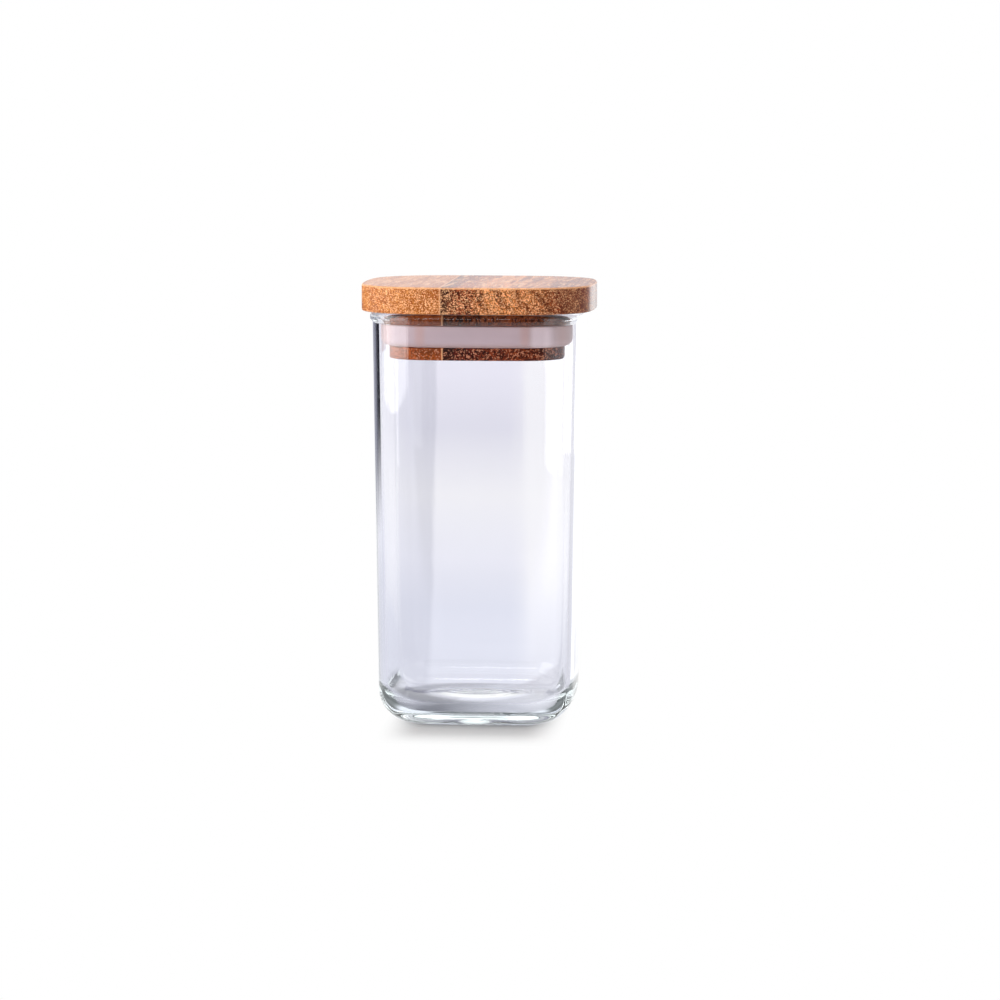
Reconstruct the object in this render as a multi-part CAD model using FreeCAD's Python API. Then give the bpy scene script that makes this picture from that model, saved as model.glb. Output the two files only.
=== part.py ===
# Square glass spice jar with a milled wooden plug lid and a silicone seal.
# Millimetres, +Z up, origin at the middle of the jar's foot, front towards -Y.
import FreeCAD
import Part
import os
from math import acos, asin, atan2, cos, degrees, radians, sin, sqrt, tan

# Jar: plan of the outside of the mouth, measured just under the lip
mouth_width = 50.2
mouth_corner_radius = 14.5
mouth_side_radius = 140.0

# Jar: upright section
jar_height = 98.2
side_taper = 1.5
wall = 1.7
base_thickness = 4.0
heel_radius = 7.8
inner_heel_radius = 6.0
lip_height = 2.6
lip_proud = 0.6
lip_round = 0.75
lip_root_round = 0.5
rim_inner_round = 0.7
push_up_radius = 12.5
push_up_height = 0.9

# Lid plate
lid_width = 55.6
lid_corner_radius = 16.5
lid_side_radius = 110.0
lid_thickness = 6.3
lid_edge_round = 0.5
glue_line_x = -7.2

# Plug milled under the plate, with the groove that holds the seal
plug_depth = 11.1
plug_gap = 2.3
plug_edge_round = 0.4
disc_thickness = 3.0
groove_height = 5.2
groove_depth = 2.2

# Seal
seal_band = 1.3
seal_fin = 1.1
seal_tip_round = 0.45
seal_clearance = 0.15

UP = FreeCAD.Vector(0, 0, 1)
ORIGIN = FreeCAD.Vector(0, 0, 0)
FULL_TURN = 360.0
QUARTER_TURN = 90.0


def point(u, z):
    return FreeCAD.Vector(u, 0, z)


def rounded_face(corners):
    """Face of an upright section: corners are (u, z, radius), joined by lines and tangent arcs."""
    edges = []
    places = [point(u, z) for u, z, _ in corners]
    starts = []
    ends = []
    for i, (_, _, radius) in enumerate(corners):
        here = places[i]
        back = (places[i - 1] - here).normalize()
        ahead = (places[(i + 1) % len(places)] - here).normalize()
        half_angle = acos(back.dot(ahead)) / 2
        setback = radius / tan(half_angle)
        starts.append(here + back * setback)
        ends.append(here + ahead * setback)
        if radius > 0:
            inward = (back + ahead).normalize()
            middle = here + inward * (radius / sin(half_angle) - radius)
            edges.append(Part.Arc(starts[i], middle, ends[i]).toShape())
    for i, start in enumerate(starts):
        edges.append(Part.LineSegment(ends[i - 1], start).toShape())
    return Part.Face(Part.Wire(Part.__sortEdges__(edges)))


class Plan:
    """Square with round corners and slightly bowed sides, all arcs tangent to each other."""

    def __init__(self, width, corner_radius, side_radius):
        self.corner_radius = corner_radius
        self.side_radius = side_radius
        self.side_centre = side_radius - width / 2
        reach = side_radius - corner_radius
        self.corner_centre = (sqrt(2 * reach**2 - self.side_centre**2) - self.side_centre) / 2
        self.side_angle = 2 * degrees(atan2(self.corner_centre, self.side_centre + self.corner_centre))
        self.corner_angle = QUARTER_TURN - self.side_angle

    def arcs(self):
        """Centre, radius, swept angle and direction of each arc of the outline."""
        for quarter in range(4):
            side_way = quarter * QUARTER_TURN
            corner_way = side_way + QUARTER_TURN / 2
            corner_reach = self.corner_centre * sqrt(2)
            yield along(side_way, -self.side_centre), self.side_radius, self.side_angle, side_way
            yield along(corner_way, corner_reach), self.corner_radius, self.corner_angle, corner_way


def along(way, reach):
    return FreeCAD.Vector(reach * cos(radians(way)), reach * sin(radians(way)), 0)


def swept_round(section, plan):
    """One wedge for each arc of the plan, with u of the section measured out from the outline."""
    wedges = []
    for centre, radius, angle, way in plan.arcs():
        face = section.copy()
        face.translate(point(radius, 0))
        face.rotate(ORIGIN, UP, way - angle / 2)
        wedge = face.revolve(ORIGIN, UP, angle)
        wedge.translate(centre)
        wedges.append(wedge)
    return wedges


def core(plan, bottom, top):
    """Middle block that closes a section reaching in to the axes of the corners."""
    edges = []
    for quarter in range(4):
        way = quarter * QUARTER_TURN
        start = along(way - QUARTER_TURN / 2, plan.corner_centre * sqrt(2))
        middle = along(way, plan.side_radius - plan.corner_radius - plan.side_centre)
        end = along(way + QUARTER_TURN / 2, plan.corner_centre * sqrt(2))
        edges.append(Part.Arc(start, middle, end).toShape())
    face = Part.Face(Part.Wire(edges))
    face.translate(UP * bottom)
    return face.extrude(UP * (top - bottom))


def joined(solids):
    return solids[0].multiFuse(solids[1:]).removeSplitter().Solids[0]


def cap(radius, height, z):
    """Shallow spherical dome standing on the level z."""
    sphere = (radius**2 + height**2) / (2 * height)
    half_way = asin(radius / sphere) / 2
    rim = point(radius, z)
    crown = point(0, z + height)
    shoulder = point(sphere * sin(half_way), z + height - sphere * (1 - cos(half_way)))
    edges = [
        Part.LineSegment(point(0, z), rim).toShape(),
        Part.Arc(rim, shoulder, crown).toShape(),
        Part.LineSegment(crown, point(0, z)).toShape(),
    ]
    return Part.Face(Part.Wire(edges)).revolve(ORIGIN, UP, FULL_TURN)


def wall_out(z):
    """Outside of the tapered wall at a height, measured from the mouth's outline."""
    return -side_taper * (1 - z / jar_height)


mouth_plan = Plan(mouth_width, mouth_corner_radius, mouth_side_radius)
lid_plan = Plan(lid_width, lid_corner_radius, lid_side_radius)


def glass_jar():
    inner = -mouth_corner_radius
    lip_base = jar_height - lip_height
    section = rounded_face([
        (inner, 0, 0),
        (wall_out(0), 0, heel_radius),
        (wall_out(lip_base), lip_base, lip_root_round),
        (lip_proud, lip_base + lip_round, lip_round),
        (lip_proud, jar_height, lip_round),
        (wall_out(jar_height) - wall, jar_height, rim_inner_round),
        (wall_out(base_thickness) - wall, base_thickness, inner_heel_radius),
        (inner, base_thickness, 0),
    ])
    solids = swept_round(section, mouth_plan)
    solids.append(core(mouth_plan, 0, base_thickness))
    solids.append(cap(push_up_radius, push_up_height, base_thickness))
    return joined(solids).cut(cap(push_up_radius, push_up_height, 0)).Solids[0]


def plug_side():
    return -wall - plug_gap


def groove_bottom():
    return jar_height - plug_depth + disc_thickness


def lid_blank():
    plate_inner = -lid_corner_radius
    plate = rounded_face([
        (plate_inner, jar_height, 0),
        (0, jar_height, lid_edge_round),
        (0, jar_height + lid_thickness, lid_edge_round),
        (plate_inner, jar_height + lid_thickness, 0),
    ])
    plug_inner = -mouth_corner_radius
    plug_foot = jar_height - plug_depth
    groove_floor = plug_side() - groove_depth
    plug = rounded_face([
        (plug_inner, plug_foot, 0),
        (plug_side(), plug_foot, plug_edge_round),
        (plug_side(), groove_bottom(), 0),
        (groove_floor, groove_bottom(), 0),
        (groove_floor, groove_bottom() + groove_height, 0),
        (plug_side(), groove_bottom() + groove_height, 0),
        (plug_side(), jar_height, 0),
        (plug_inner, jar_height, 0),
    ])
    solids = swept_round(plate, lid_plan)
    solids.append(core(lid_plan, jar_height, jar_height + lid_thickness))
    solids.extend(swept_round(plug, mouth_plan))
    solids.append(core(mouth_plan, plug_foot, jar_height))
    return joined(solids)


def stave(blank, left_edge):
    """One board of the blank: what lies within a lid's width to the right of an edge."""
    corner = FreeCAD.Vector(left_edge, -lid_width, 0)
    side = Part.makeBox(lid_width, 2 * lid_width, jar_height + lid_thickness, corner)
    return blank.common(side).Solids[0]


def seal_ring():
    """Band that fills the groove's height, with a fin that curls out and up to the glass."""
    bottom = groove_bottom()
    top = bottom + groove_height
    back = plug_side() - groove_depth
    outside = wall_out(bottom) - wall - seal_clearance
    bend = outside - plug_side()
    section = rounded_face([
        (back, bottom, 0),
        (outside, bottom, bend),
        (outside, top, seal_tip_round),
        (outside - seal_fin, top, seal_tip_round),
        (outside - seal_fin, bottom + seal_fin, bend - seal_fin),
        (back + seal_band, bottom + seal_fin, 0),
        (back + seal_band, top, 0),
        (back, top, 0),
    ])
    return joined(swept_round(section, mouth_plan))


def main():
    os.makedirs("parts", exist_ok=True)
    blank = lid_blank()
    pieces = {
        "glass_jar": glass_jar(),
        "lid_stave_left": stave(blank, glue_line_x - lid_width),
        "lid_stave_right": stave(blank, glue_line_x),
        "seal_ring": seal_ring(),
    }
    for name, shape in pieces.items():
        shape.exportStep(f"parts/{name}.step")
        print(name, "valid" if shape.isValid() else "broken", round(shape.Volume, 1), "cubic mm")


main()
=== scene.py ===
"""Square glass spice jar with a wooden plug lid and a silicone seal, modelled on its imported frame."""
from math import cos, exp, pi, radians, sin, sqrt, tan, atan2

import bmesh
import bpy
from bpy.props import FloatProperty, FloatVectorProperty, PointerProperty
from bpy.types import Operator, Panel, PropertyGroup
from mathutils import Matrix, Vector, noise


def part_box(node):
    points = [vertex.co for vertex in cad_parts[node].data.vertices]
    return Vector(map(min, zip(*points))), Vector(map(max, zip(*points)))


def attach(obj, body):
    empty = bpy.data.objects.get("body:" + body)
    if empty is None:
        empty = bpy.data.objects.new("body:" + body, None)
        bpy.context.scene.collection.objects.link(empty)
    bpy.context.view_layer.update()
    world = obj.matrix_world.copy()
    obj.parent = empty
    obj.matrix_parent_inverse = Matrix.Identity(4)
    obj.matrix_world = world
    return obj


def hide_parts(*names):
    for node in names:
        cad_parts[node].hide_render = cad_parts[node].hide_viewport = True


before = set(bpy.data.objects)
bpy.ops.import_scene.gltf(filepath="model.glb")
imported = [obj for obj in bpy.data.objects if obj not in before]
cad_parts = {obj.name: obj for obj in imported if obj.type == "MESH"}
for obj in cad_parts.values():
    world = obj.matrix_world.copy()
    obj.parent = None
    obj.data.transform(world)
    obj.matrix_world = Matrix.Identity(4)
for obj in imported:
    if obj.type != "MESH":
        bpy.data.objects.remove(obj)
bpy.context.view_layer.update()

bl_info = {
    "name": "Spice jar",
    "version": (1, 0, 0),
    "blender": (4, 5, 0),
    "location": "View3D > Sidebar > Spice jar",
    "description": "Models a glass spice jar, its wooden lid and its seal",
    "category": "Add Mesh",
}

MM = 0.001
UP = Vector((0, 0, 1))
QUARTER_TURN = pi / 2

# Steps of the meshes: round a plan's sides and corners, along a section's rounds and walls, and
# from the edge of the base to its middle, under it and on the floor inside
SIDE_STEPS = 32
CORNER_STEPS = 24
ROUND_SEGMENTS = 10
WALL_CUTS = 30
FOOT_RINGS = 28
FLOOR_RINGS = 44

# How meshes are joined and smoothed, and how much rounder than its edge the base is in each ring
MERGE_DISTANCE = 0.001 * MM
LEVEL_DISTANCE = 0.01 * MM
SHARP_ANGLE = radians(40)
RING_ROUNDING = 0.3

# Flats beside a round, in shares of it: next to the heels, and next to the lid's edges
HEEL_FLAT = 1.2
EDGE_FLAT = 4

# Blown glass: how long the waves of its walls are, and how its dome and swirl fall off
WAVE_ROUND = 0.009
WAVE_TALL = 0.03
DOME_POWER = 1.3
SWIRL_REACH = 0.6
SWIRL_POWER = 4

JAR_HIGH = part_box("glass_jar")[1]
LEFT_LOW, LEFT_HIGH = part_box("lid_stave_left")
SEAL_LOW, SEAL_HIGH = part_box("seal_ring")
LIP_PROUD = 0.6 * MM
MOUTH_WIDTH = 2 * (JAR_HIGH.x - LIP_PROUD)

# Reflections that a path may make inside the glass, after which a painted glow of the wall takes over
GLOSSY_BOUNCES = 5


def srgb(red, green, blue):
    """Linear colour from screen values of 0 to 255."""
    shares = [value / 255 for value in (red, green, blue)]
    return tuple(s / 12.92 if s <= 0.04045 else ((s + 0.055) / 1.055) ** 2.4 for s in shares)


def length(name, description, default):
    return FloatProperty(
        name=name, description=description, default=default, unit="LENGTH", precision=5
    )


def share(name, description, default):
    return FloatProperty(
        name=name, description=description, default=default, subtype="FACTOR", min=0, max=1
    )


def colour(name, description, default):
    return FloatVectorProperty(
        name=name, description=description, default=default, subtype="COLOR", size=3, min=0, max=1
    )


class GlassSettings(PropertyGroup):
    """Sizes and finish of the glass jar."""

    mouth_width: length("Mouth width", "Outside of the mouth under the lip", MOUTH_WIDTH)
    corner_radius: length("Corner radius", "Round of the four corners, in plan", 14.5 * MM)
    side_radius: length("Side radius", "Bow of the four sides, in plan", 140 * MM)
    height: length("Height", "From the foot to the rim", JAR_HIGH.z)
    side_taper: length("Side taper", "How far each side leans in from rim to foot", 1.5 * MM)
    wall: length("Wall", "Thickness of the wall", 1.7 * MM)
    base: length("Base", "Thickness of the base", 4 * MM)
    heel: length("Heel", "Outer round from wall to foot", 7.8 * MM)
    inner_heel: length("Inner heel", "Inner round from wall to floor", 6 * MM)
    lip_height: length("Lip height", "Height of the rolled lip", 2.6 * MM)
    lip_proud: length("Lip proud", "How far the lip stands out from the wall", LIP_PROUD)
    lip_round: length("Lip round", "Round of the lip's edges", 0.75 * MM)
    lip_root: length("Lip root", "Round where the lip meets the wall", 0.5 * MM)
    rim_outer: length("Rim outer round", "Round of the rim's outer edge", 1.5 * MM)
    rim_inner: length("Rim inner round", "Round of the rim's inner edge", 0.7 * MM)
    push_up_radius: length("Push-up radius", "Radius of the dome in the base", 12.5 * MM)
    push_up_height: length("Push-up height", "Height of the dome in the base", 0.9 * MM)
    ripple: length("Ripple", "Height of the swirl that blowing left on the floor", 0.34 * MM)
    ripple_length: length("Ripple length", "Distance between the swirl's crests", 3.1 * MM)
    waviness: length("Waviness", "How far the blown wall wanders in and out", 0.02 * MM)
    tint: colour("Tint", "Colour that light takes on in the glass", (1, 1, 1))
    body: colour("Body", "Colour of light that has come far through the glass", (0.7, 0.76, 0.77))
    shadow: colour("Shadow", "Light that the wall lets through", srgb(254, 254, 255))
    # Painted glow that the glass gives off where a path has made all its reflections, by place; the
    # dark tones are painted shade
    trapped_left: colour("Trapped left", "Light that runs on inside the left wall", srgb(140, 142, 150))
    trapped_right: colour("Trapped right", "Such light in the right wall", srgb(205, 206, 212))
    trapped_back: colour("Trapped back", "Such light in the back wall", srgb(254, 255, 255))
    trapped_low: colour("Trapped low", "Such light at the foot of the back wall", srgb(34, 38, 38))
    trapped_corner: colour("Trapped corner", "Such light in the heel's corners", srgb(198, 200, 208))
    trapped_under: colour("Trapped under", "Such light in the base", srgb(96, 100, 102))
    base_shadow: colour("Base shadow", "Light that the thick heel lets through", srgb(205, 205, 207))


class LidSettings(PropertyGroup):
    """Sizes of the wooden lid and colours of its two boards."""

    width: length("Width", "Width of the lid's plate", -2 * LEFT_LOW.x)
    corner_radius: length("Corner radius", "Round of the plate's corners, in plan", 16.5 * MM)
    side_radius: length("Side radius", "Bow of the plate's sides, in plan", 110 * MM)
    top: length("Top", "Height of the plate's top face", LEFT_HIGH.z)
    edge: length("Edge round", "Soft round along the plate's edges", 0.5 * MM)
    glue_line: length("Glue line", "Where the two boards meet", LEFT_HIGH.x)
    plug_foot: length("Plug foot", "Height of the plug's lower face", LEFT_LOW.z)
    plug_gap: length("Plug gap", "From the inside of the mouth to the plug", 2.3 * MM)
    plug_edge: length("Plug edge", "Soft round along the plug's lower edge", 0.4 * MM)
    groove_edge: length("Groove edge", "Soft round along the groove's edges", 0.15 * MM)
    groove_depth: length("Groove depth", "Depth of the seal's groove", 2.2 * MM)
    left_pale: colour("Left pale", "Pale wood of the left board", srgb(217, 140, 71))
    left_deep: colour("Left deep", "Deep wood of the left board", srgb(169, 95, 37))
    right_pale: colour("Right pale", "Pale wood of the right board", srgb(232, 144, 82))
    right_mid: colour("Right middle", "Red-brown wood of the right board", srgb(166, 74, 37))
    right_deep: colour("Right deep", "Deep wood of the right board", srgb(117, 46, 15))
    heart: colour("Heart", "Dark heartwood beside the glue line", srgb(62, 14, 4))
    pore: colour("Pore", "Inside of the right board's pores", srgb(36, 10, 3))
    left_pore: colour("Left pore", "Inside of the left board's pores", srgb(146, 72, 22))
    fleck: colour("Fleck", "Pale cells round the pores", srgb(252, 188, 136))
    # Partly the paler long grain of the top face, partly painted sheen where grazing light washes it
    # out
    top_grain_and_sheen: colour("Top pale", "Paler wood of the sanded top face", srgb(216, 152, 98))
    # Painted shade: left_shade and right_shade darken each board's tone inside the mouth, and
    # mouth_fleck is its pale cells dimmed there
    left_shade: colour("Left shade", "Left board's tone left on the plug", srgb(206, 152, 84))
    mouth_fleck: colour("Mouth fleck", "Pale cells on the plug", srgb(184, 118, 88))
    right_shade: colour("Right shade", "Right board's tone left on the plug", srgb(150, 104, 76))


class SealSettings(PropertyGroup):
    """Sizes and colour of the silicone seal."""

    bottom: length("Bottom", "Height of the seal's lower face", SEAL_LOW.z)
    top: length("Top", "Height of the seal's upper edge", SEAL_HIGH.z)
    band: length("Band", "Thickness of the band in the groove", 1.3 * MM)
    fin: length("Fin", "Thickness of the fin that wipes the glass", 1.1 * MM)
    tip: length("Tip round", "Round of the fin's tip", 0.45 * MM)
    inner: length("Inner round", "Round of the band's inner edges", 0.2 * MM)
    clear: length("Clear", "Hair of room between the band and the groove", 0.02 * MM)
    # Painted highlight: paler silicone towards the right corners, where a soft reflection falls
    pale: colour("Pale", "Where the fin bends round the corner", srgb(238, 222, 228))
    # Painted on the seal: wood showing through at the plug's corners and the sides, and painted shade
    # along its foot
    warm: colour("Warm", "Where the wood behind shows through the silicone", srgb(186, 150, 142))
    milk: colour("Milk", "Colour of the silicone", srgb(190, 170, 177))


class StageSettings(PropertyGroup):
    """Camera, lamps and surroundings."""

    lens: FloatProperty(
        name="Lens", description="Focal length of the camera", default=134.795, unit="CAMERA"
    )
    sky: colour("Sky", "Surroundings that the glass mirrors", srgb(244, 244, 250))
    fill: share("Fill", "Level of the even light from all sides", 0.45)


class JarSettings(PropertyGroup):
    """All that a user would change on the jar."""

    glass: PointerProperty(type=GlassSettings)
    lid: PointerProperty(type=LidSettings)
    seal: PointerProperty(type=SealSettings)
    stage: PointerProperty(type=StageSettings)


def settings():
    return bpy.context.scene.spice_jar


class Plan:
    """Outline of a square with round corners and bowed sides, all arcs tangent to each other."""

    def __init__(self, width, corner_radius, side_radius):
        self.corner_radius = corner_radius
        self.side_radius = side_radius
        self.side_centre = side_radius - width / 2
        reach = side_radius - corner_radius
        self.corner_centre = (sqrt(2 * reach**2 - self.side_centre**2) - self.side_centre) / 2
        self.side_angle = 2 * atan2(self.corner_centre, self.side_centre + self.corner_centre)
        self.corner_angle = QUARTER_TURN - self.side_angle

    def arcs(self):
        """Centre, radius, swept angle, direction and steps of each arc of the outline."""
        for quarter in range(4):
            side_way = quarter * QUARTER_TURN
            corner_way = side_way + QUARTER_TURN / 2
            side_middle = along(side_way, -self.side_centre)
            corner_middle = along(corner_way, self.corner_centre * sqrt(2))
            yield side_middle, self.side_radius, self.side_angle, side_way, SIDE_STEPS
            yield corner_middle, self.corner_radius, self.corner_angle, corner_way, CORNER_STEPS


def along(way, reach):
    return Vector((reach * cos(way), reach * sin(way), 0))


def mouth_plan():
    glass = settings().glass
    return Plan(glass.mouth_width, glass.corner_radius, glass.side_radius)


def lid_plan():
    lid = settings().lid
    return Plan(lid.width, lid.corner_radius, lid.side_radius)


def draw_section(corners, closed=False):
    """Upright section as a bare line through (out, up, radius) corners, rounded by vertex bevels."""
    mesh = bmesh.new()
    places = [Vector((out, 0, up)) for out, up, _ in corners]
    verts = [mesh.verts.new(place) for place in places]
    for here, there in zip(verts, verts[1:]):
        mesh.edges.new((here, there))
    if closed:
        mesh.edges.new((verts[-1], verts[0]))
    for i, (_, _, radius) in enumerate(corners):
        if radius > 0:
            back = places[i - 1] - places[i]
            ahead = places[(i + 1) % len(places)] - places[i]
            setback = radius / tan(back.angle(ahead) / 2)
            bmesh.ops.bevel(
                mesh, geom=[verts[i]], offset=setback, offset_type="OFFSET", affect="VERTICES",
                segments=ROUND_SEGMENTS, profile=0.5, material=-1,
            )
    return mesh


def sweep_round(mesh, plan):
    """Carry the section round the plan, arc after arc, with its outs measured from the outline."""
    arcs = list(plan.arcs())
    centre, radius, angle, way, _ = arcs[0]
    turn = Matrix.Rotation(way - angle / 2, 4, "Z")
    start = Matrix.Translation(centre) @ turn @ Matrix.Translation((radius, 0, 0))
    bmesh.ops.transform(mesh, matrix=start, verts=mesh.verts)
    section = mesh.verts[:] + mesh.edges[:]
    for centre, _, angle, _, steps in arcs:
        swept = bmesh.ops.spin(
            mesh, geom=section, cent=centre, axis=UP, dvec=(0, 0, 0), angle=angle, steps=steps,
            use_merge=False, use_normal_flip=False, use_duplicate=False,
        )
        section = swept["geom_last"]
    bmesh.ops.remove_doubles(mesh, verts=mesh.verts, dist=MERGE_DISTANCE)


def open_ring(mesh, level):
    """Edges of the open ring that lies at a height."""
    return [
        e for e in mesh.edges if e.is_boundary and abs(e.verts[0].co.z - level) < LEVEL_DISTANCE
    ]


def carry_in(mesh, ring, rings, height):
    """Extrude an open ring in to the middle, easing its square into circles, and close it there."""
    widest = min(v.co.xy.length for e in ring for v in e.verts)
    size = 1.0
    for step in range(1, rings):
        smaller = 1 - step / rings
        grown = bmesh.ops.extrude_edge_only(mesh, edges=ring)["geom"]
        verts = [g for g in grown if isinstance(g, bmesh.types.BMVert)]
        for v in verts:
            squarish = v.co.xy.length * smaller / size
            reach = squarish + (widest * smaller - squarish) * RING_ROUNDING
            v.co.xy = v.co.xy.normalized() * reach
            v.co.z = height(v.co.x, v.co.y)
        fresh = set(verts)
        ring = [g for g in grown if isinstance(g, bmesh.types.BMEdge) and fresh.issuperset(g.verts)]
        size = smaller
    last = list({v for e in ring for v in e.verts})
    bmesh.ops.contextual_create(mesh, geom=ring)
    cap = max(last[0].link_faces, key=lambda face: len(face.verts))
    hub = bmesh.ops.poke(mesh, faces=[cap])["verts"][0]
    hub.co.z = height(0, 0)


def finish_piece(mesh, name, material, body, node):
    """Turn a mesh into a named object that rides on its body, and hide the node that it is built after.
    """
    bmesh.ops.recalc_face_normals(mesh, faces=mesh.faces)
    data = bpy.data.meshes.new(name)
    mesh.to_mesh(data)
    mesh.free()
    data.shade_smooth()
    data.set_sharp_from_angle(angle=SHARP_ANGLE)
    data.materials.append(material)
    piece = bpy.data.objects.new(name, data)
    bpy.context.scene.collection.objects.link(piece)
    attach(piece, body)
    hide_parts(node)
    return piece


def feed(tree, node, inputs):
    """Set a node's inputs to values, or link them to sockets."""
    for key, value in inputs.items():
        if isinstance(value, bpy.types.NodeSocket):
            tree.links.new(value, node.inputs[key])
        else:
            node.inputs[key].default_value = value


def put(tree, kind, inputs=None, **options):
    """New node with its options and its inputs."""
    node = tree.nodes.new(kind)
    for name, value in options.items():
        setattr(node, name, value)
    feed(tree, node, inputs or {})
    return node


def maths(tree, operation, first, second=0.0):
    return put(tree, "ShaderNodeMath", {0: first, 1: second}, operation=operation).outputs[0]


def times(tree, first, second):
    return maths(tree, "MULTIPLY", first, second)


def mend(tree, value, slope, start):
    """Value times a slope, on top of a start."""
    inputs = {0: value, 1: slope, 2: start}
    return put(tree, "ShaderNodeMath", inputs, operation="MULTIPLY_ADD").outputs[0]


def less(tree, factor, loss):
    """What is left of 1 where the factor takes a loss from it."""
    return mend(tree, factor, -loss, 1.0)


def ease(tree, value, low, high):
    """0 below low, 1 above high and a smooth step between; low may be the larger of the two."""
    inputs = {"Value": value, "From Min": low, "From Max": high}
    return put(tree, "ShaderNodeMapRange", inputs, interpolation_type="SMOOTHSTEP").outputs["Result"]


def zone(tree, value, start, limits):
    """Smooth step between two limits that are measured from a start."""
    return ease(tree, value, start + limits[0], start + limits[1])


def rgba(value):
    return value if isinstance(value, bpy.types.NodeSocket) else (*value, 1.0)


def blend(tree, factor, first, second, mode="MIX"):
    """Colour between two colours, each a value or a socket."""
    inputs = {0: factor, 6: rgba(first), 7: rgba(second)}
    return put(tree, "ShaderNodeMix", inputs, data_type="RGBA", blend_type=mode).outputs[2]


def tone_ramp(tree, factor, stops):
    """Colour ramp through (position, colour) stops."""
    node = put(tree, "ShaderNodeValToRGB", {"Fac": factor})
    elements = node.color_ramp.elements
    while len(elements) < len(stops):
        elements.new(1.0)
    for element, (position, tone) in zip(elements, stops):
        element.position = position
        element.color = (*tone, 1.0)
    return node.outputs["Color"]


def clouds(tree, vector, scale, detail=3.0, roughness=0.55):
    inputs = {"Vector": vector, "Scale": scale, "Detail": detail, "Roughness": roughness}
    return put(tree, "ShaderNodeTexNoise", inputs).outputs["Fac"]


def axes(tree, place):
    return put(tree, "ShaderNodeSeparateXYZ", {0: place})


def choose(tree, factor, first, second):
    """Shader node between two others."""
    return put(tree, "ShaderNodeMixShader", {0: factor, 1: first.outputs[0], 2: second.outputs[0]})


def light_of(tree, tone, strength=1.0):
    """Shader node that gives off light."""
    return put(tree, "ShaderNodeEmission", {"Color": rgba(tone), "Strength": strength})


def new_material(name):
    """Material with an empty tree, its Principled node and its output node."""
    material = bpy.data.materials.new(name)
    material.use_nodes = True
    tree = material.node_tree
    tree.nodes.clear()
    surface = put(tree, "ShaderNodeBsdfPrincipled")
    output = put(tree, "ShaderNodeOutputMaterial", {"Surface": surface.outputs["BSDF"]})
    return material, tree, surface, output


def millimetres(tree, stretch=(1, 1, 1), turn=(0, 0, 0), shift=(0, 0, 0)):
    """Object coordinates in millimetres, squeezed along an axis where the grain runs."""
    place = put(tree, "ShaderNodeTexCoord").outputs["Object"]
    scale = tuple(s / MM for s in stretch)
    inputs = {"Vector": place, "Scale": scale, "Rotation": turn, "Location": shift}
    return put(tree, "ShaderNodeMapping", inputs).outputs["Vector"]


# The glass's faint wave, and where the painted glow of trapped light changes its tone, in millimetres
FAINT_WAVE = {"scale": 0.12, "detail": 2.0}
WAVE_STRETCH = (1, 1, 0.3)
HEEL_START = 0.5
GLOW_ACROSS = (-5.0, 5.0)
GLOW_MIDDLE = (14.5, 10.0)
GLOW_FOOT = (17.5, 14.5)
GLOW_BACK = (8.0, 16.0)
GLOW_BASE = (7.0, 5.5)
GLOW_CORNERS = 0.5


def painted_trapped_glow(tree, spot):
    """Painted glow for light that has run on and on inside the glass, its tone set by the place where
    its path ends; where it is dark, at the foot of the back wall and in the middle of the base, it is
    painted shade.
    """
    glass = settings().glass
    right = ease(tree, spot.outputs["X"], *GLOW_ACROSS)
    sides = blend(tree, right, glass.trapped_left, glass.trapped_right)
    middle = ease(tree, maths(tree, "ABSOLUTE", spot.outputs["X"]), *GLOW_MIDDLE)
    foot = ease(tree, spot.outputs["Z"], *GLOW_FOOT)
    foot = times(tree, foot, mend(tree, middle, 1 - GLOW_CORNERS, GLOW_CORNERS))
    back = blend(tree, foot, glass.trapped_back, glass.trapped_low)
    glow = blend(tree, ease(tree, spot.outputs["Y"], *GLOW_BACK), sides, back)
    under = blend(tree, middle, glass.trapped_corner, glass.trapped_under)
    return blend(tree, ease(tree, spot.outputs["Z"], *GLOW_BASE), glow, under)


def clear_glass():
    """Polished glass with a faint wave, which lets lamps through to what it covers.

    A path that has made all its reflections takes on a painted glow, lighter and darker by place, in
    place of the light that it would still find."""
    glass = settings().glass
    material, tree, surface, output = new_material("clear_glass")
    wave = clouds(tree, millimetres(tree, stretch=WAVE_STRETCH), **FAINT_WAVE)
    bump = put(tree, "ShaderNodeBump", {"Height": wave, "Strength": 0.05, "Distance": 0.4 * MM})
    feed(tree, surface, {
        "Base Color": rgba(glass.tint),
        "Roughness": 0.0,
        "IOR": 1.47,
        "Transmission Weight": 1.0,
        "Normal": bump.outputs["Normal"],
    })
    spot = axes(tree, millimetres(tree))
    thin = ease(tree, spot.outputs["Z"], HEEL_START, glass.heel / MM)
    let_through = blend(tree, thin, glass.base_shadow, glass.shadow)
    see_through = put(tree, "ShaderNodeBsdfTransparent", {"Color": let_through})
    path = put(tree, "ShaderNodeLightPath")
    trapped = maths(tree, "GREATER_THAN", path.outputs["Glossy Depth"], GLOSSY_BOUNCES - 0.5)
    glow = light_of(tree, painted_trapped_glow(tree, spot), trapped)
    pane = put(tree, "ShaderNodeAddShader", {0: surface.outputs[0], 1: glow.outputs[0]})
    soft = choose(tree, path.outputs["Is Diffuse Ray"], pane, see_through)
    lamps = choose(tree, path.outputs["Is Shadow Ray"], soft, see_through)
    depth = put(tree, "ShaderNodeVolumeAbsorption", {"Color": rgba(glass.body), "Density": 20.0})
    feed(tree, output, {"Surface": lamps.outputs[0], "Volume": depth.outputs[0]})
    material.cycles.emission_sampling = "NONE"
    return material


# Stretch of the wood's grain and fibres, which run front to back
GRAIN = (1, 0.03, 1)
FIBRES = (1, 0.08, 1)

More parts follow.
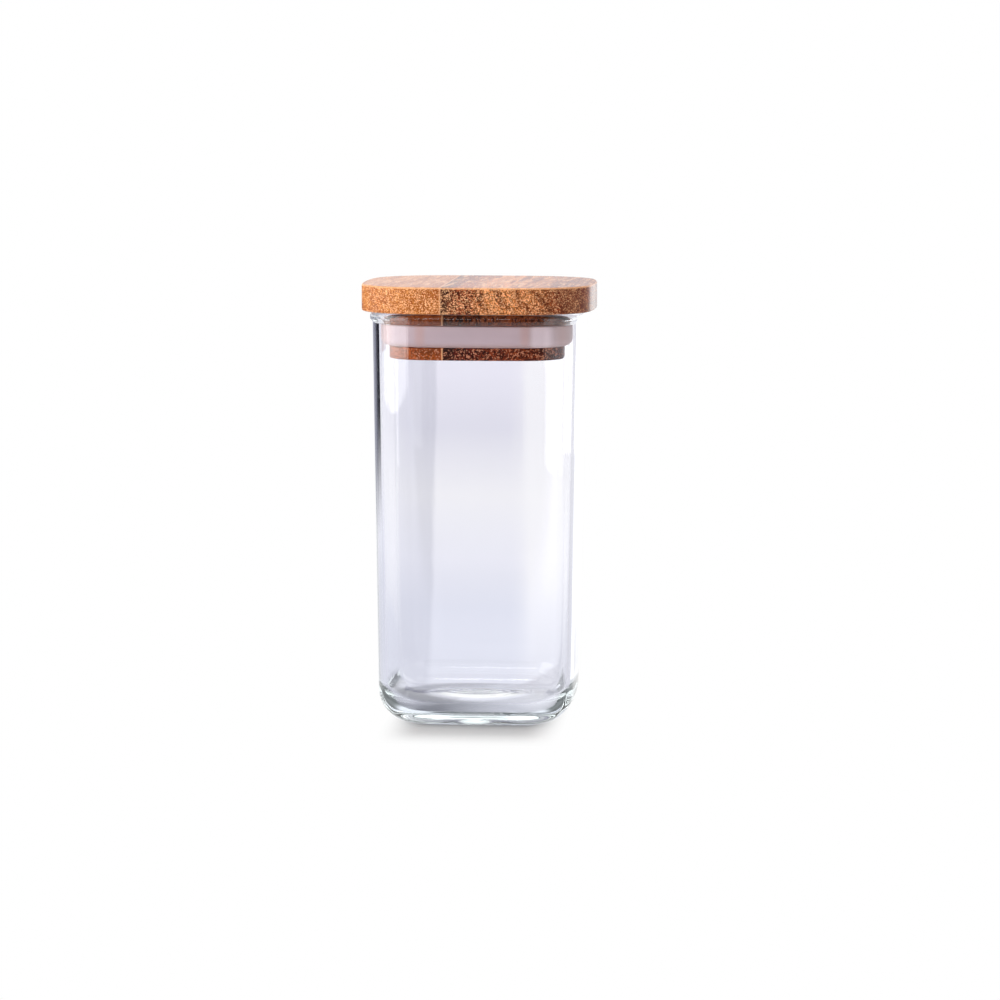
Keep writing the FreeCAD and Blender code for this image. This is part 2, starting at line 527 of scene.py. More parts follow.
# Figures of the wood: squeeze along the grain, shift along it, scale per millimetre and detail
MOTTLE = (0.05, 20, 0.24, 2.0)
STREAKS = (0.12, 5, 0.7, 2.0)
VEINS = (0.07, 9, 0.55, 3.0)
GROWTH_RINGS = {"Scale": 0.085, "Distortion": 3.0, "Detail": 2.0, "Detail Scale": 3.0}
CELLS_PER_MM = 6.2
PATCH_SCALE = 0.9
WANDER_SCALE = 0.3
WANDER = 4.0

# Levels of a figure between which its tone comes in
REDDER = (0.5, 0.62)
PALER = (0.48, 0.36)
RINGED = (0.45, 0.95)
STREAKED = (0.46, 0.66)
VEINED = (0.55, 0.4)
PALE_CELLS = (0.76, 0.82)
DARK_CELLS = (0.5, 0.42)

# Places on the lid, in millimetres from its top, the rim, the seal's top, its side and the glue line
TOP_FACE = (-0.06, -0.01)
TOP_EDGE = (-0.5, -0.25)
IN_MOUTH = (0.05, -0.4)
BEHIND_LIP = (-0.1, 0.1)
SIDE_FACE = (-4.0, -0.8)
SHINY_SIDE = (-1.6, -0.4)
SEAM = (0.3, 0.1)

# Shares that each tone brings, and that the cells lose where they are calmer or coarser
RED_SHARE = 0.35
PALE_SHARE = 0.1
RING_TOP_LOSS = 0.6
STREAK_SHARES = (0.7, 0.1)
TOP_SHARE = 0.5
TOP_RING_LOSS = 0.3
VEIN_SHARE = 0.7
NECK_SHARE = 0.4
PLUG_PORE_SHARE = 0.55
# Share of the painted highlight along the top's edge
EDGE_HIGHLIGHT_SHARE = 0.55
SEAM_SHARE = 0.5
TOP_CALM = 0.7
SIDE_CALM = 0.35
NECK_CALM = 0.75
PLUG_COARSER = 0.4
PATCHY = 0.5

# Slope and start of the wood's roughness over its cells, and of its oil over its shiny faces
ROUGHNESS = (0.2, 0.4)
OIL = (0.55, 0.3)


def wood_figure(tree, figure, seed):
    """Clouds that are drawn out along the grain."""
    squeeze, shift, scale, detail = figure
    place = millimetres(tree, stretch=(1, squeeze, 1), shift=(seed, shift, 0))
    return clouds(tree, place, scale, detail=detail)


def stave_wood(name, tones, figure, bands, band_turn, shade, pore, seed):
    """Oiled wood whose grain runs front to back, so that the front and back edges show its cells.

    tones gives the board's colour across the lid, from its left edge to its right one, and figure
    how strongly its dark and pale cells stand out there. bands is the strength of the growth rings
    and band_turn their slant. shade is the painted shade that darkens the tone inside the mouth,
    pore is the tone of the dark cells, and seed moves the figures aside, so that the two boards differ."""
    lid = settings().lid
    rim = settings().glass.height / MM
    seal_top = settings().seal.top / MM
    top = lid.top / MM
    half = lid.width / MM / 2
    material, tree, surface, _ = new_material(name)
    place = millimetres(tree, stretch=GRAIN, shift=(seed, 0, 0))
    spot = axes(tree, millimetres(tree))
    across = spot.outputs["X"]
    height = spot.outputs["Z"]
    on_top = zone(tree, height, top, TOP_FACE)
    off_top = less(tree, on_top, 1.0)
    in_mouth = zone(tree, height, rim, IN_MOUTH)
    on_neck = times(tree, zone(tree, height, seal_top, BEHIND_LIP), in_mouth)
    on_side = zone(tree, maths(tree, "ABSOLUTE", across), half, SIDE_FACE)

    # Tone across the lid, and how strongly the cells stand out
    wander = times(tree, clouds(tree, place, WANDER_SCALE, detail=4.0), WANDER)
    where = put(tree, "ShaderNodeMapRange", {
        "Value": maths(tree, "ADD", across, wander),
        "From Min": WANDER / 2 - half,
        "From Max": WANDER / 2 + half,
    }).outputs["Result"]
    wood = tone_ramp(tree, where, tones)
    contrast = tone_ramp(tree, where, [(at, (level,) * 3) for at, level in figure])
    contrast = times(tree, contrast, less(tree, on_top, TOP_CALM))
    contrast = times(tree, contrast, less(tree, on_side, SIDE_CALM))

    # Mottle, growth rings, streaks and veins
    mottle = wood_figure(tree, MOTTLE, seed)
    redder = times(tree, ease(tree, mottle, *REDDER), times(tree, off_top, RED_SHARE))
    wood = blend(tree, redder, wood, lid.right_mid)
    paler = times(tree, ease(tree, mottle, *PALER), times(tree, off_top, PALE_SHARE))
    wood = blend(tree, paler, wood, lid.fleck)
    slanted = millimetres(tree, stretch=GRAIN, turn=(0, band_turn, 0), shift=(seed, 0, 0))
    rings = put(tree, "ShaderNodeTexWave", {"Vector": slanted, **GROWTH_RINGS}).outputs["Fac"]
    rings = times(tree, ease(tree, rings, *RINGED), mend(tree, on_top, -RING_TOP_LOSS * bands, bands))
    wood = blend(tree, rings, wood, lid.right_deep)
    streak = ease(tree, wood_figure(tree, STREAKS, seed), *STREAKED)
    wood = blend(tree, times(tree, streak, mend(tree, on_top, *STREAK_SHARES)), wood, lid.fleck)
    # Paler top face: partly its long grain, partly painted sheen from grazing light, less where the
    # growth rings are strong
    wood = blend(tree, times(tree, on_top, TOP_SHARE - TOP_RING_LOSS * bands), wood, lid.top_grain_and_sheen)
    vein = ease(tree, wood_figure(tree, VEINS, seed), *VEINED)
    wood = blend(tree, times(tree, vein, times(tree, on_top, VEIN_SHARE)), wood, tones[-1][1])
    # Painted shade: the tone darkens inside the mouth, on the plug and towards the plate's underside
    wood = blend(tree, in_mouth, wood, shade, "MULTIPLY")
    wood = blend(tree, times(tree, on_neck, NECK_SHARE), wood, lid.left_pore)

    # Pale and dark cells, each with its own chance
    fibres = millimetres(tree, stretch=FIBRES, shift=(seed, 0, 0))
    coarser = less(tree, in_mouth, PLUG_COARSER)
    fibres = put(tree, "ShaderNodeVectorMath", {0: fibres, "Scale": coarser}, operation="SCALE")
    cell = put(tree, "ShaderNodeTexVoronoi", {"Vector": fibres.outputs[0], "Scale": CELLS_PER_MM})
    chance = put(tree, "ShaderNodeSeparateColor", {0: cell.outputs["Color"]}).outputs["Red"]
    patch = clouds(tree, place, PATCH_SCALE, detail=1.0)
    chance = maths(tree, "ADD", chance, mend(tree, patch, PATCHY, -PATCHY / 2))
    light = times(tree, ease(tree, chance, *PALE_CELLS), contrast)
    light = times(tree, light, less(tree, on_neck, NECK_CALM))
    # Pale cells are dimmed inside the mouth, with the painted shade there
    wood = blend(tree, light, wood, blend(tree, in_mouth, lid.fleck, lid.mouth_fleck))
    dark = times(tree, ease(tree, chance, *DARK_CELLS), contrast)
    # The dark cells deepen inside the mouth, with the painted shade there
    hole = blend(tree, times(tree, in_mouth, PLUG_PORE_SHARE), pore, lid.pore)
    wood = blend(tree, dark, wood, hole)

    # Painted highlight along the edge of the top, and the glue line
    edge_highlight = maths(tree, "SUBTRACT", zone(tree, height, top, TOP_EDGE), on_top)
    wood = blend(tree, times(tree, edge_highlight, EDGE_HIGHLIGHT_SHARE), wood, lid.fleck)
    seam = maths(tree, "ABSOLUTE", maths(tree, "SUBTRACT", across, lid.glue_line / MM))
    wood = blend(tree, times(tree, ease(tree, seam, *SEAM), SEAM_SHARE), wood, lid.fleck)

    glossy = maths(tree, "MAXIMUM", on_top, zone(tree, across, half, SHINY_SIDE))
    bump = put(tree, "ShaderNodeBump", {"Height": chance, "Strength": 0.25, "Distance": 0.05 * MM})
    feed(tree, surface, {
        "Base Color": wood,
        "Roughness": mend(tree, chance, *ROUGHNESS),
        "Specular IOR Level": 0.1,
        "Coat Weight": mend(tree, glossy, *OIL),
        "Coat IOR": 1.3,
        "Coat Roughness": 0.2,
        "Normal": bump.outputs["Normal"],
    })
    return material


def pale_wood():
    """The left board: even and golden, deeper towards the glue line."""
    lid = settings().lid
    tones = [(0.0, lid.left_pale), (0.18, lid.left_pale), (0.4, lid.left_deep)]
    figure = [(0.0, 0.85), (0.15, 0.9), (0.4, 1.0)]
    return stave_wood(
        "pale_wood", tones, figure, bands=0.25, band_turn=0.5,
        shade=lid.left_shade, pore=lid.left_pore, seed=0,
    )


def brown_wood():
    """The right board: dark heartwood at the glue line, then red, pale and deep brown."""
    lid = settings().lid
    tones = [
        (0.36, lid.heart), (0.4, lid.heart), (0.425, lid.right_mid), (0.5, lid.right_mid),
        (0.56, lid.right_pale), (0.7, lid.right_pale), (0.85, lid.right_deep), (1.0, lid.right_deep),
    ]
    figure = [(0.36, 0.8), (0.5, 1.0), (0.58, 0.85), (0.78, 0.75), (0.88, 0.52), (1.0, 0.52)]
    return stave_wood(
        "brown_wood", tones, figure, bands=0.6, band_turn=0.6,
        shade=lid.right_shade, pore=lid.pore, seed=90,
    )


# Silicone: its clouds, how much greyer they are, and where a warm tone and a painted highlight are laid
# on it, in millimetres from the middle of the front or from the seal's foot
MILK_CLOUDS = 0.35
MILK_GREYER = 0.86
MILK_ROUGHNESS = (0.2, 0.35)
PLUG_CORNER_NEAR = (10.5, 12.0)
PLUG_CORNER_FAR = (14.0, 12.5)
SEAL_SIDE = (17.5, 20.5)
SEAL_FOOT = (1.6, 0.0)
WARM_SHARE = 0.55
SEAL_HIGHLIGHT_NEAR = (13.0, 14.5)
SEAL_HIGHLIGHT_FAR = (19.0, 17.0)
SEAL_HIGHLIGHT_SHARE = 0.45


def milky_silicone():
    """Silicone that light soaks into, a little cloudy and slightly matt."""
    seal = settings().seal
    material, tree, surface, _ = new_material("silicone")
    cloud = clouds(tree, millimetres(tree), MILK_CLOUDS)
    greyer = tuple(MILK_GREYER * part for part in seal.milk)
    milk = blend(tree, cloud, seal.milk, greyer)
    spot = axes(tree, millimetres(tree))
    aside = maths(tree, "ABSOLUTE", spot.outputs["X"])
    # Warm tone painted as wood showing through at the plug's corners and the seal's sides, and as
    # painted shade along its foot
    warm = times(tree, ease(tree, aside, *PLUG_CORNER_NEAR), ease(tree, aside, *PLUG_CORNER_FAR))
    warm = maths(tree, "MAXIMUM", warm, ease(tree, aside, *SEAL_SIDE))
    warm = maths(tree, "MAXIMUM", warm, zone(tree, spot.outputs["Z"], seal.bottom / MM, SEAL_FOOT))
    milk = blend(tree, times(tree, warm, WARM_SHARE), milk, seal.warm)
    # Painted highlight: the seal turns paler towards its right corners, where a soft reflection falls
    bend = times(tree, ease(tree, spot.outputs["X"], *SEAL_HIGHLIGHT_NEAR), ease(tree, aside, *SEAL_HIGHLIGHT_FAR))
    milk = blend(tree, times(tree, bend, SEAL_HIGHLIGHT_SHARE), milk, seal.pale)
    feed(tree, surface, {
        "Base Color": milk,
        "Roughness": mend(tree, cloud, *MILK_ROUGHNESS),
        "IOR": 1.41,
        "Subsurface Weight": 0.4,
        "Subsurface Radius": (1.0, 0.9, 0.9),
        "Subsurface Scale": 1.2 * MM,
    })
    return material


def wall_out(z):
    """Outside of the leaning wall at a height, measured from the mouth's outline."""
    glass = settings().glass
    return -glass.side_taper * (1 - z / glass.height)


def glass_mesh():
    """The jar's wall, lip and heel swept round its plan, with the base carried in to the middle."""
    glass = settings().glass
    lip_base = glass.height - glass.lip_height
    foot_edge = wall_out(0) - HEEL_FLAT * glass.heel
    floor_edge = wall_out(glass.base) - glass.wall - HEEL_FLAT * glass.inner_heel
    mesh = draw_section([
        (foot_edge, 0, 0),
        (wall_out(0), 0, glass.heel),
        (wall_out(lip_base), lip_base, glass.lip_root),
        (glass.lip_proud, lip_base + glass.lip_round, glass.lip_round),
        (glass.lip_proud, glass.height, glass.rim_outer),
        (-glass.wall, glass.height, glass.rim_inner),
        (wall_out(glass.base) - glass.wall, glass.base, glass.inner_heel),
        (floor_edge, glass.base, 0),
    ])
    walls = [e for e in mesh.edges if e.calc_length() > glass.height / 2]
    bmesh.ops.subdivide_edges(mesh, edges=walls, cuts=WALL_CUTS)
    sweep_round(mesh, mouth_plan())
    wander_walls(mesh)
    carry_in(mesh, open_ring(mesh, 0), FOOT_RINGS, dome)
    carry_in(mesh, open_ring(mesh, glass.base), FLOOR_RINGS, floor_height)
    return mesh


def floor_height(x, y):
    """Height of the floor inside the jar."""
    return settings().glass.base + dome(x, y) + swirl(x, y)


def wander_walls(mesh):
    """Move the walls in and out a hair, as blown glass wanders, with lip and base left true."""
    glass = settings().glass
    for v in mesh.verts:
        rise = min(v.co.z - glass.heel, glass.height - glass.lip_height - v.co.z)
        hold = max(0.0, min(1.0, rise / glass.heel))
        if hold > 0:
            spot = Vector((v.co.x / WAVE_ROUND, v.co.y / WAVE_ROUND, v.co.z / WAVE_TALL))
            drift = noise.noise(spot)
            v.co += v.co.xy.to_3d().normalized() * drift * glass.waviness * hold


def dome(x, y):
    """Height of the push-up over a point of the base."""
    glass = settings().glass
    share_out = (x * x + y * y) / glass.push_up_radius**2
    return glass.push_up_height * max(0.0, 1 - share_out) ** DOME_POWER


def swirl(x, y):
    """Spiral ripple in the middle of the floor, fading outwards."""
    glass = settings().glass
    reach = sqrt(x * x + y * y)
    fade = exp(-(reach / (SWIRL_REACH * glass.push_up_radius)) ** SWIRL_POWER)
    start = reach**2 / (reach**2 + glass.ripple_length**2)
    return glass.ripple * fade * start * cos(2 * pi * reach / glass.ripple_length + atan2(y, x))


def lid_mesh():
    """The lid's blank: a plate with soft edges and the grooved plug under it."""
    lid = settings().lid
    glass = settings().glass
    seal = settings().seal
    rim = glass.height
    plug_side = -glass.wall - lid.plug_gap
    groove = plug_side - lid.groove_depth
    mesh = draw_section([
        (-EDGE_FLAT * lid.edge, lid.top, 0),
        (0, lid.top, lid.edge),
        (0, rim, lid.edge),
        (-EDGE_FLAT * lid.edge, rim, 0),
    ])
    sweep_round(mesh, lid_plan())
    bmesh.ops.contextual_create(mesh, geom=open_ring(mesh, lid.top))
    plug = draw_section([
        (plug_side, rim, 0),
        (plug_side, seal.top, lid.groove_edge),
        (groove, seal.top, 0),
        (groove, seal.bottom, 0),
        (plug_side, seal.bottom, lid.groove_edge),
        (plug_side, lid.plug_foot, lid.plug_edge),
        (plug_side - EDGE_FLAT * lid.plug_edge, lid.plug_foot, 0),
    ])
    sweep_round(plug, mouth_plan())
    bmesh.ops.contextual_create(plug, geom=open_ring(plug, lid.plug_foot))
    add_mesh(mesh, plug)
    bmesh.ops.triangle_fill(mesh, use_beauty=True, edges=open_ring(mesh, rim), normal=-UP)
    bmesh.ops.recalc_face_normals(mesh, faces=mesh.faces)
    return mesh


def add_mesh(mesh, other):
    """Take another bmesh into this one."""
    carrier = bpy.data.meshes.new("carrier")
    other.to_mesh(carrier)
    other.free()
    mesh.from_mesh(carrier)
    bpy.data.meshes.remove(carrier)


def stave_mesh(blank, keep_left):
    """One board of the blank, cut at the glue line and closed there."""
    lid = settings().lid
    mesh = blank.copy()
    cut = bmesh.ops.bisect_plane(
        mesh, geom=mesh.verts[:] + mesh.edges[:] + mesh.faces[:], plane_co=(lid.glue_line, 0, 0),
        plane_no=(1, 0, 0), clear_outer=keep_left, clear_inner=not keep_left,
    )
    edges = [g for g in cut["geom_cut"] if isinstance(g, bmesh.types.BMEdge)]
    bmesh.ops.contextual_create(mesh, geom=edges)
    return mesh


def seal_mesh():
    """The band in the plug's groove, with its fin curled out and up to the glass."""
    glass = settings().glass
    lid = settings().lid
    seal = settings().seal
    plug_side = -glass.wall - lid.plug_gap
    back = plug_side - lid.groove_depth + seal.clear
    bottom = seal.bottom + seal.clear
    top = seal.top - seal.clear
    outside = SEAL_HIGH.x - glass.mouth_width / 2
    bend = outside - plug_side
    mesh = draw_section([
        (back, bottom, 0),
        (outside, bottom, bend),
        (outside, top, seal.tip),
        (outside - seal.fin, top, seal.tip),
        (outside - seal.fin, bottom + seal.fin, bend - seal.fin),
        (back + seal.band, bottom + seal.fin, seal.inner),
        (back + seal.band, top, seal.inner),
        (back, top, 0),
    ], closed=True)
    sweep_round(mesh, mouth_plan())
    return mesh


class SPICE_JAR_OT_glass(Operator):
    """Model the square glass jar with its rolled lip and its thick base"""

    bl_idname = "spice_jar.glass"
    bl_label = "Glass jar"

    def execute(self, context):
        finish_piece(glass_mesh(), "glass_jar_blown", clear_glass(), "jar", "glass_jar")
        return {"FINISHED"}


class SPICE_JAR_OT_lid(Operator):
    """Model the lid's two glued boards, cut from one blank"""

    bl_idname = "spice_jar.lid"
    bl_label = "Wooden lid"

    def execute(self, context):
        blank = lid_mesh()
        left = stave_mesh(blank, True)
        right = stave_mesh(blank, False)
        blank.free()
        finish_piece(left, "lid_board_left", pale_wood(), "lid", "lid_stave_left")
        finish_piece(right, "lid_board_right", brown_wood(), "lid", "lid_stave_right")
        return {"FINISHED"}


class SPICE_JAR_OT_seal(Operator):
    """Model the silicone seal in the plug's groove"""

    bl_idname = "spice_jar.seal"
    bl_label = "Seal"

    def execute(self, context):
        finish_piece(seal_mesh(), "seal_moulded", milky_silicone(), "lid", "seal_ring")
        return {"FINISHED"}


CAMERA_PLACE = Vector((73.775, -891.494, 153.836)) * MM
CAMERA_YAW = 0.07719
CAMERA_PITCH = -0.11339
CAMERA_ROLL = 0.00222
SENSOR_WIDTH = 36.0
FLOOR_HALF = 4.0
FLOOR_DROP = 0.03 * MM
WHITE = (1, 1, 1)

# Longest paths through the glass, and most transparent hits
LONG_PATH = 48
CLEAR_HITS = 24

# Soft boxes: bearing from the front, positive to the right, height angle, distance, sizes, radiance
SOFT_BOXES = {
    "left_box": (radians(-76), radians(12), 0.65, 0.7, 0.8, 2.1),
    "front_box": (radians(-15), radians(20), 1.0, 0.6, 0.5, 3.3),
    "right_box": (radians(62), radians(10), 0.8, 0.5, 0.6, 0.7),
    "right_back_box": (radians(160), radians(6), 0.6, 0.2, 0.6, 0.85),
    "top_box": (radians(180), radians(82), 0.8, 0.26, 0.26, 15.0),
}

# Paints of the cards: tone, and the two heights between which a card comes in
DIM_FRONT = srgb(48, 48, 52)
CARD_PAINTS = {
    "front_card": (DIM_FRONT, 0.0, 0.03),
    "left_flag": (srgb(5, 8, 16), -0.006, 0.044),
    "left_grey": (srgb(128, 126, 150), -0.006, 0.05),
}

# Cards: paint, bearing from the front, distance, width, height, and whether glass shows them
CARDS = {
    "front_card": ("front_card", radians(5), 0.45, 1.0, 0.28, True),
    "left_flag": ("left_flag", radians(-141), 0.35, 0.14, 0.1, True),
    "left_outer_flag": ("left_flag", radians(-137), 0.36, 0.25, 0.1, False),
    "left_grey": ("left_grey", radians(-163), 0.34, 0.205, 0.1, True),
}

# The floor as glass shows it: tones by depth behind the jar, in shares of the sweep's depth
SWEEP_DEPTH = 1.2
SWEEP_STRENGTH = 1.15
SWEEP_TONES = [
    (0.0, srgb(222, 224, 237)), (0.07, srgb(214, 216, 230)), (0.15, srgb(218, 220, 234)),
    (0.24, srgb(236, 236, 247)), (0.39, srgb(242, 241, 247)), (0.61, srgb(224, 223, 236)),
    (0.86, srgb(235, 233, 246)),
]

# Lanes of the sweep, as slopes in plan from the camera's place or from the jar, with their tones: a
# painted pool of light on the right lane, painted shade on the outer and left ones
RIGHT_LANE = (-0.0755, -0.065)
RIGHT_POOL_TONE = srgb(250, 249, 253)
RIGHT_DEPTHS = (0.05, 0.3)
RIGHT_SHARES = (0.5, 0.25)
OUTER_LANE = (0.3, 0.45)
OUTER_SHADE_TONE = srgb(192, 192, 204)
OUTER_SHARE = 0.75
LEFT_LANE = (-0.0955, -0.0985)
LEFT_SHADE_TONE = srgb(168, 169, 186)
LEFT_SHARE = 0.32

# Under the jar, in radii of the push-up: a white middle of painted light and a grey ring of painted
# shade, darker at the left
MIDDLE_EDGE = (0.95, 0.6)
RING_NEAR = (0.9, 1.2)
RING_FAR = (2.1, 1.6)
RING_SHADE_TONE = srgb(110, 112, 122)
RING_SHARES = (0.6, 0.3)

# Floor that keeps the shadow, beside and before the jar, and floor that reflections see changed
SHADOW_BESIDE = (0.022, 0.012)
SHADOW_BEFORE = (0.046, 0.024)
FLOOR_GREY = (0.82, 0.82, 0.82)
DIM_DEPTHS = (-0.1, -0.3)
BRIGHT_LEFT = (-0.05, -0.6)
BRIGHT_STRENGTH = 1.6

# Sky: how it dims with height, and a grey strip of it that only a second reflection sees
SKY_DIM = 0.75
SKY_RISE = (-0.2, 0.9)
STRIP_LOW = (0.16, 0.22)
STRIP_HIGH = (0.46, 0.4)
STRIP_TONE = srgb(92, 98, 100)
STRIP_DEPTH = 1.5


def add_camera():
    stage = settings().stage
    data = bpy.data.cameras.new("camera")
    data.lens = stage.lens
    data.sensor_width = SENSOR_WIDTH
    camera = bpy.data.objects.new("camera", data)
    turn = Matrix.Rotation(CAMERA_YAW, 4, "Z") @ Matrix.Rotation(QUARTER_TURN + CAMERA_PITCH, 4, "X")
    camera.matrix_world = Matrix.Translation(CAMERA_PLACE) @ turn @ Matrix.Rotation(CAMERA_ROLL, 4, "Z")
    bpy.context.scene.collection.objects.link(camera)
    bpy.context.scene.camera = camera


def add_soft_box(name, bearing, rise, distance, wide, tall, radiance):
    """Rectangular lamp that faces the jar, its power worked out from the radiance of its face."""
    data = bpy.data.lights.new(name, "AREA")
    data.shape = "RECTANGLE"
    data.size = wide
    data.size_y = tall
    data.energy = pi * wide * tall * radiance
    lamp = bpy.data.objects.new(name, data)
    out = Vector((sin(bearing) * cos(rise), -cos(bearing) * cos(rise), sin(rise)))
    lamp.location = out * distance + UP * JAR_HIGH.z / 2
    lamp.rotation_euler = out.to_track_quat("Z", "Y").to_euler()
    bpy.context.scene.collection.objects.link(lamp)


def seen_directly(tree):
    """1 for rays from the camera, and for those that glass or a gloss has turned."""
    path = put(tree, "ShaderNodeLightPath")
    seen = maths(tree, "MAXIMUM", path.outputs["Is Camera Ray"], path.outputs["Is Glossy Ray"])
    return maths(tree, "MAXIMUM", seen, path.outputs["Is Transmission Ray"])


def sweep_tone(tree, place, spot):
    """Pale lilac of the floor as glass shows it, with painted light and shade along some lanes and
    under the jar.
    """
    across = spot.outputs["X"]
    back = spot.outputs["Y"]
    depth = put(tree, "ShaderNodeMapRange", {"Value": back, "From Max": SWEEP_DEPTH}).outputs[0]
    lilac = tone_ramp(tree, depth, SWEEP_TONES)
    aside = maths(tree, "SUBTRACT", across, CAMERA_PLACE.x)
    lane = maths(tree, "DIVIDE", aside, maths(tree, "SUBTRACT", back, CAMERA_PLACE.y))
    whiter = mend(tree, ease(tree, back, *RIGHT_DEPTHS), *RIGHT_SHARES)
    whiter = times(tree, whiter, ease(tree, lane, *RIGHT_LANE))
    lilac = blend(tree, whiter, lilac, RIGHT_POOL_TONE)
    outer = ease(tree, maths(tree, "DIVIDE", across, back), *OUTER_LANE)
    lilac = blend(tree, times(tree, outer, OUTER_SHARE), lilac, OUTER_SHADE_TONE)
    darker = times(tree, ease(tree, lane, *LEFT_LANE), LEFT_SHARE)
    lilac = blend(tree, darker, lilac, LEFT_SHADE_TONE)

    foot = settings().glass.push_up_radius
    reach = put(tree, "ShaderNodeVectorMath", {0: place}, operation="LENGTH").outputs["Value"]
    middle, near, far = [
        ease(tree, reach, low * foot, high * foot) for low, high in (MIDDLE_EDGE, RING_NEAR, RING_FAR)
    ]
    lilac = blend(tree, middle, lilac, WHITE)
    lopsided = mend(tree, ease(tree, across, foot, -foot), *RING_SHARES)
    return blend(tree, times(tree, times(tree, near, far), lopsided), lilac, RING_SHADE_TONE)


def floor_paint():
    """White floor that keeps the jar's shadow, and is a lilac sweep where glass looks through to it.

    Reflections see it dim in front of the jar, and bright under the soft box at the left."""
    material, tree, surface, output = new_material("white_floor")
    tree.nodes.remove(surface)
    place = put(tree, "ShaderNodeTexCoord").outputs["Object"]
    spot = axes(tree, place)
    path = put(tree, "ShaderNodeLightPath")
    beside = ease(tree, maths(tree, "ABSOLUTE", spot.outputs["X"]), *SHADOW_BESIDE)
    before = ease(tree, maths(tree, "ABSOLUTE", spot.outputs["Y"]), *SHADOW_BEFORE)
    lit = put(tree, "ShaderNodeBsdfDiffuse", {"Color": rgba(FLOOR_GREY)})
    afar = choose(tree, seen_directly(tree), lit, light_of(tree, WHITE))
    open_floor = choose(tree, times(tree, beside, before), afar, lit)
    sweep = light_of(tree, sweep_tone(tree, place, spot), SWEEP_STRENGTH)
    through = choose(tree, path.outputs["Is Transmission Ray"], open_floor, sweep)
    thrown_back = ease(tree, path.outputs["Glossy Depth"], 0.0, 1.0)
    ahead = times(tree, ease(tree, spot.outputs["Y"], *DIM_DEPTHS), thrown_back)
    mirrored = choose(tree, ahead, through, light_of(tree, DIM_FRONT))
    left = ease(tree, spot.outputs["X"], *BRIGHT_LEFT)
    left = times(tree, left, path.outputs["Is Reflection Ray"])
    whole = choose(tree, left, mirrored, light_of(tree, WHITE, BRIGHT_STRENGTH))
    feed(tree, output, {"Surface": whole.outputs[0]})
    material.cycles.emission_sampling = "NONE"
    return material


def add_sheet(name, wide, tall, place, material):
    """Flat stage sheet of a given size, moved into place by a matrix."""
    mesh = bmesh.new()
    bmesh.ops.create_grid(mesh, x_segments=1, y_segments=1, size=0.5)
    bmesh.ops.scale(mesh, vec=(wide, tall, 1), verts=mesh.verts)
    bmesh.ops.transform(mesh, matrix=place, verts=mesh.verts)
    data = bpy.data.meshes.new(name)
    mesh.to_mesh(data)
    mesh.free()
    data.materials.append(material)
    sheet = bpy.data.objects.new(name, data)
    bpy.context.scene.collection.objects.link(sheet)
    return sheet


def card_paint(name, tone, low, high):
    """Card that shows only in reflections, and comes in between two heights."""
    material, tree, surface, output = new_material(name)
    tree.nodes.remove(surface)
    place = put(tree, "ShaderNodeTexCoord").outputs["Object"]
    height = axes(tree, place).outputs["Z"]
    mirrored = ease(tree, put(tree, "ShaderNodeLightPath").outputs["Glossy Depth"], 0.0, 1.0)
    there = times(tree, mirrored, ease(tree, height, low, high))
    clear = put(tree, "ShaderNodeBsdfTransparent")
    card = choose(tree, there, clear, light_of(tree, tone))
    feed(tree, output, {"Surface": card.outputs[0]})
    material.cycles.emission_sampling = "NONE"
    return material


def add_card(name, material, bearing, distance, wide, tall, seen_through):
    """Upright card that faces the jar and that only reflections, and perhaps glass, see."""
    turn = Matrix.Rotation(bearing, 4, "Z") @ Matrix.Translation((0, -distance, tall / 2))
    card = add_sheet(name, wide, tall, turn @ Matrix.Rotation(QUARTER_TURN, 4, "X"), material)
    card.visible_camera = False
    card.visible_diffuse = False
    card.visible_shadow = False
    card.visible_transmission = seen_through


def add_world():
    """White to the camera, a pale sky to gloss and glass, and an even fill to everything else."""
    stage = settings().stage
    world = bpy.data.worlds.new("studio")
    world.use_nodes = True
    tree = world.node_tree
    tree.nodes.clear()
    path = put(tree, "ShaderNodeLightPath")
    direction = put(tree, "ShaderNodeTexCoord").outputs["Generated"]
    rise = axes(tree, direction).outputs["Z"]
    dimmer = tuple(SKY_DIM * part for part in stage.sky)
    sky = tone_ramp(tree, ease(tree, rise, *SKY_RISE), [(0.0, stage.sky), (1.0, dimmer)])
    strip = times(tree, ease(tree, rise, *STRIP_LOW), ease(tree, rise, *STRIP_HIGH))
    deep = maths(tree, "GREATER_THAN", path.outputs["Glossy Depth"], STRIP_DEPTH)
    sky = blend(tree, times(tree, strip, deep), sky, STRIP_TONE)
    turned = maths(tree, "MAXIMUM", path.outputs["Is Glossy Ray"], path.outputs["Is Transmission Ray"])
    fill = put(tree, "ShaderNodeBackground", {"Color": rgba(WHITE), "Strength": stage.fill})
    around = put(tree, "ShaderNodeBackground", {"Color": sky, "Strength": 1.0})
    white = put(tree, "ShaderNodeBackground", {"Color": rgba(WHITE), "Strength": 1.0})
    mirrored = choose(tree, turned, fill, around)
    seen = choose(tree, path.outputs["Is Camera Ray"], mirrored, white)
    put(tree, "ShaderNodeOutputWorld", {"Surface": seen.outputs[0]})
    bpy.context.scene.world = world


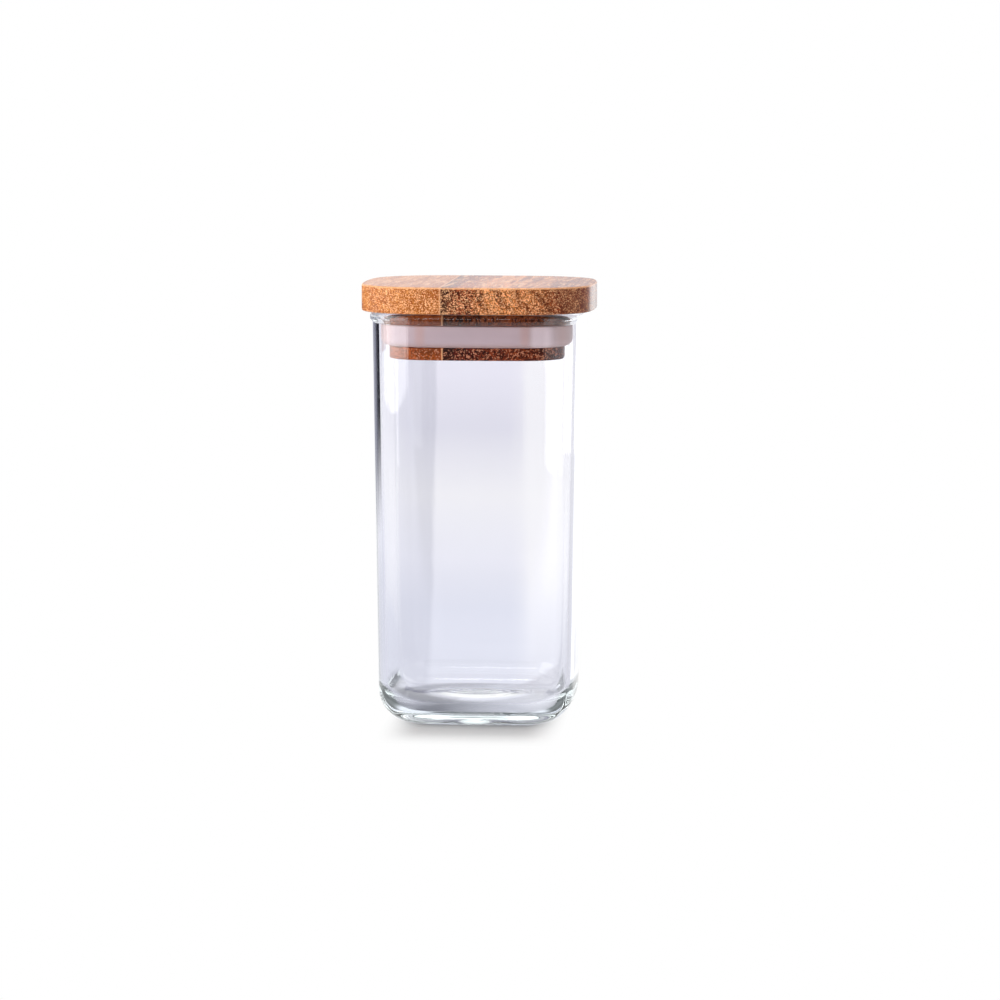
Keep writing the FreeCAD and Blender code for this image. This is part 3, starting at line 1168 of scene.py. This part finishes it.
class SPICE_JAR_OT_stage(Operator):
    """Set up the floor, the cards, the soft boxes, the surroundings and the camera"""

    bl_idname = "spice_jar.stage"
    bl_label = "Stage"

    def execute(self, context):
        scene = context.scene
        scene.view_settings.view_transform = "Standard"
        scene.cycles.max_bounces = LONG_PATH
        scene.cycles.transmission_bounces = LONG_PATH
        scene.cycles.glossy_bounces = GLOSSY_BOUNCES
        scene.cycles.transparent_max_bounces = CLEAR_HITS
        scene.cycles.caustics_reflective = False
        scene.cycles.caustics_refractive = False
        add_world()
        floor_place = Matrix.Translation((0, 0, -FLOOR_DROP))
        add_sheet("floor", 2 * FLOOR_HALF, 2 * FLOOR_HALF, floor_place, floor_paint())
        paints = {name: card_paint(name, *facts) for name, facts in CARD_PAINTS.items()}
        for name, (paint, *facts) in CARDS.items():
            add_card(name, paints[paint], *facts)
        for name, facts in SOFT_BOXES.items():
            add_soft_box(name, *facts)
        add_camera()
        return {"FINISHED"}


class SPICE_JAR_PT_panel(Panel):
    """Sidebar panel with the jar's pieces and its settings"""

    bl_label = "Spice jar"
    bl_space_type = "VIEW_3D"
    bl_region_type = "UI"
    bl_category = "Spice jar"

    def draw(self, context):
        for operator in OPERATORS:
            self.layout.operator(operator.bl_idname)
        jar = context.scene.spice_jar
        for group in (jar.glass, jar.lid, jar.seal, jar.stage):
            box = self.layout.box()
            for name in group.bl_rna.properties.keys():
                if name not in ("name", "rna_type"):
                    box.prop(group, name)


OPERATORS = (SPICE_JAR_OT_glass, SPICE_JAR_OT_lid, SPICE_JAR_OT_seal, SPICE_JAR_OT_stage)
GROUPS = (GlassSettings, LidSettings, SealSettings, StageSettings, JarSettings)
CLASSES = (*GROUPS, *OPERATORS, SPICE_JAR_PT_panel)


def register():
    for kind in CLASSES:
        bpy.utils.register_class(kind)
    bpy.types.Scene.spice_jar = PointerProperty(type=JarSettings)


def unregister():
    del bpy.types.Scene.spice_jar
    for kind in reversed(CLASSES):
        bpy.utils.unregister_class(kind)


def main():
    register()
    bpy.ops.spice_jar.glass()
    bpy.ops.spice_jar.lid()
    bpy.ops.spice_jar.seal()
    bpy.ops.spice_jar.stage()


if __name__ == "__main__":
    main()
